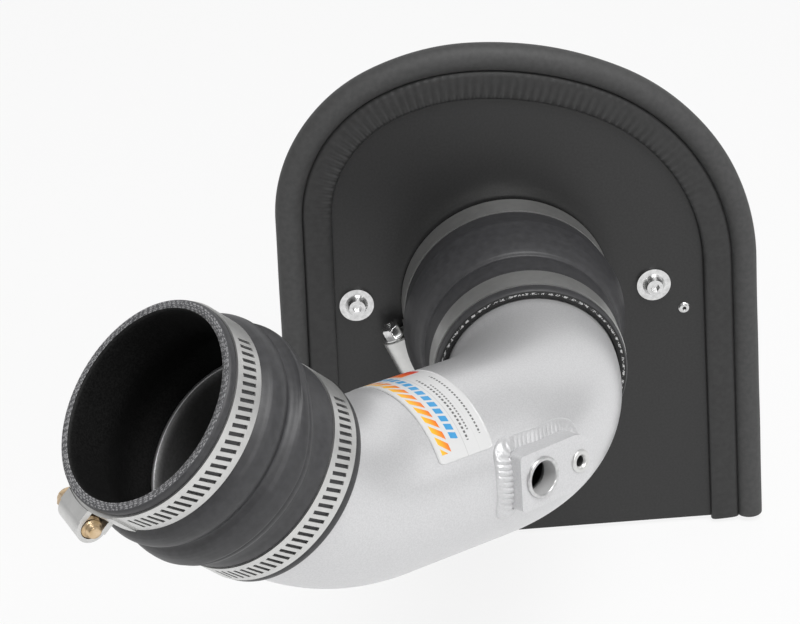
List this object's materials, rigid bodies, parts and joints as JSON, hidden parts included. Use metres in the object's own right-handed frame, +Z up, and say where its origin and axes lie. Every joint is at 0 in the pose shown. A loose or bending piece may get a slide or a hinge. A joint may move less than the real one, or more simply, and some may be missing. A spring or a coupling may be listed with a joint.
{
  "type": "cold air intake pipe",
  "caption": "Bent aluminium intake tube with hose couplers and worm-drive clamps, a heat shield with a bulb edge seal, and a cone air filter behind the shield.",
  "frame": {"origin": "axis of the shield's air hole, on the shield's front face", "axes": "+X along the shield to the right as the throttle side sees it, +Y from the throttle side towards the filter behind the shield, +Z up the shield"},
  "size_m": [0.3274, 0.4163, 0.2551],
  "materials": {
    "tube": "fine silver powder coat",
    "weld": "silver powder coat over a weld bead",
    "shield": "satin charcoal powder coat",
    "seal": "extruded sponge rubber",
    "hose": "fabric-reinforced silicone rubber, dull",
    "band": "rolled stainless strip",
    "screw_gold": "yellow zinc plate",
    "screw_zinc": "zinc plate",
    "grommet": "turned ring, satin",
    "insert": "zinc plate",
    "label": "printed film with plain colour fields",
    "adapter": "as machined",
    "filter_rubber": "moulded polyurethane",
    "filter_cloth": "oiled cotton gauze pleats"
  },
  "bodies": {
    "root": {"shield_plate": "shield", "edge_seal": "seal", "shield_bolt_left": "screw_zinc", "shield_bolt_right": "screw_zinc", "shield_washer_left": "screw_zinc", "shield_washer_right": "screw_zinc", "shield_nut_left": "screw_zinc", "shield_nut_right": "screw_zinc", "shield_rivet": "insert", "intake_pipe": "tube", "sensor_pad": "tube", "pad_weld": "weld", "sensor_grommet": "grommet", "sensor_insert": "insert", "pipe_label": "label", "throttle_hose": "hose", "throttle_band": "band", "throttle_housing": "band", "throttle_screw": "screw_gold", "tube_band": "band", "tube_housing": "band", "tube_screw": "screw_gold", "filter_hose": "hose", "elbow_band": "band", "elbow_housing": "band", "elbow_screw": "screw_zinc", "spigot_band": "band", "spigot_housing": "band", "spigot_screw": "screw_zinc", "filter_adapter": "adapter", "filter_base": "filter_rubber", "filter_media": "filter_cloth", "filter_cap": "filter_rubber", "filter_band": "band", "filter_housing": "band", "filter_screw": "screw_zinc"}
  },
  "joints": []
}
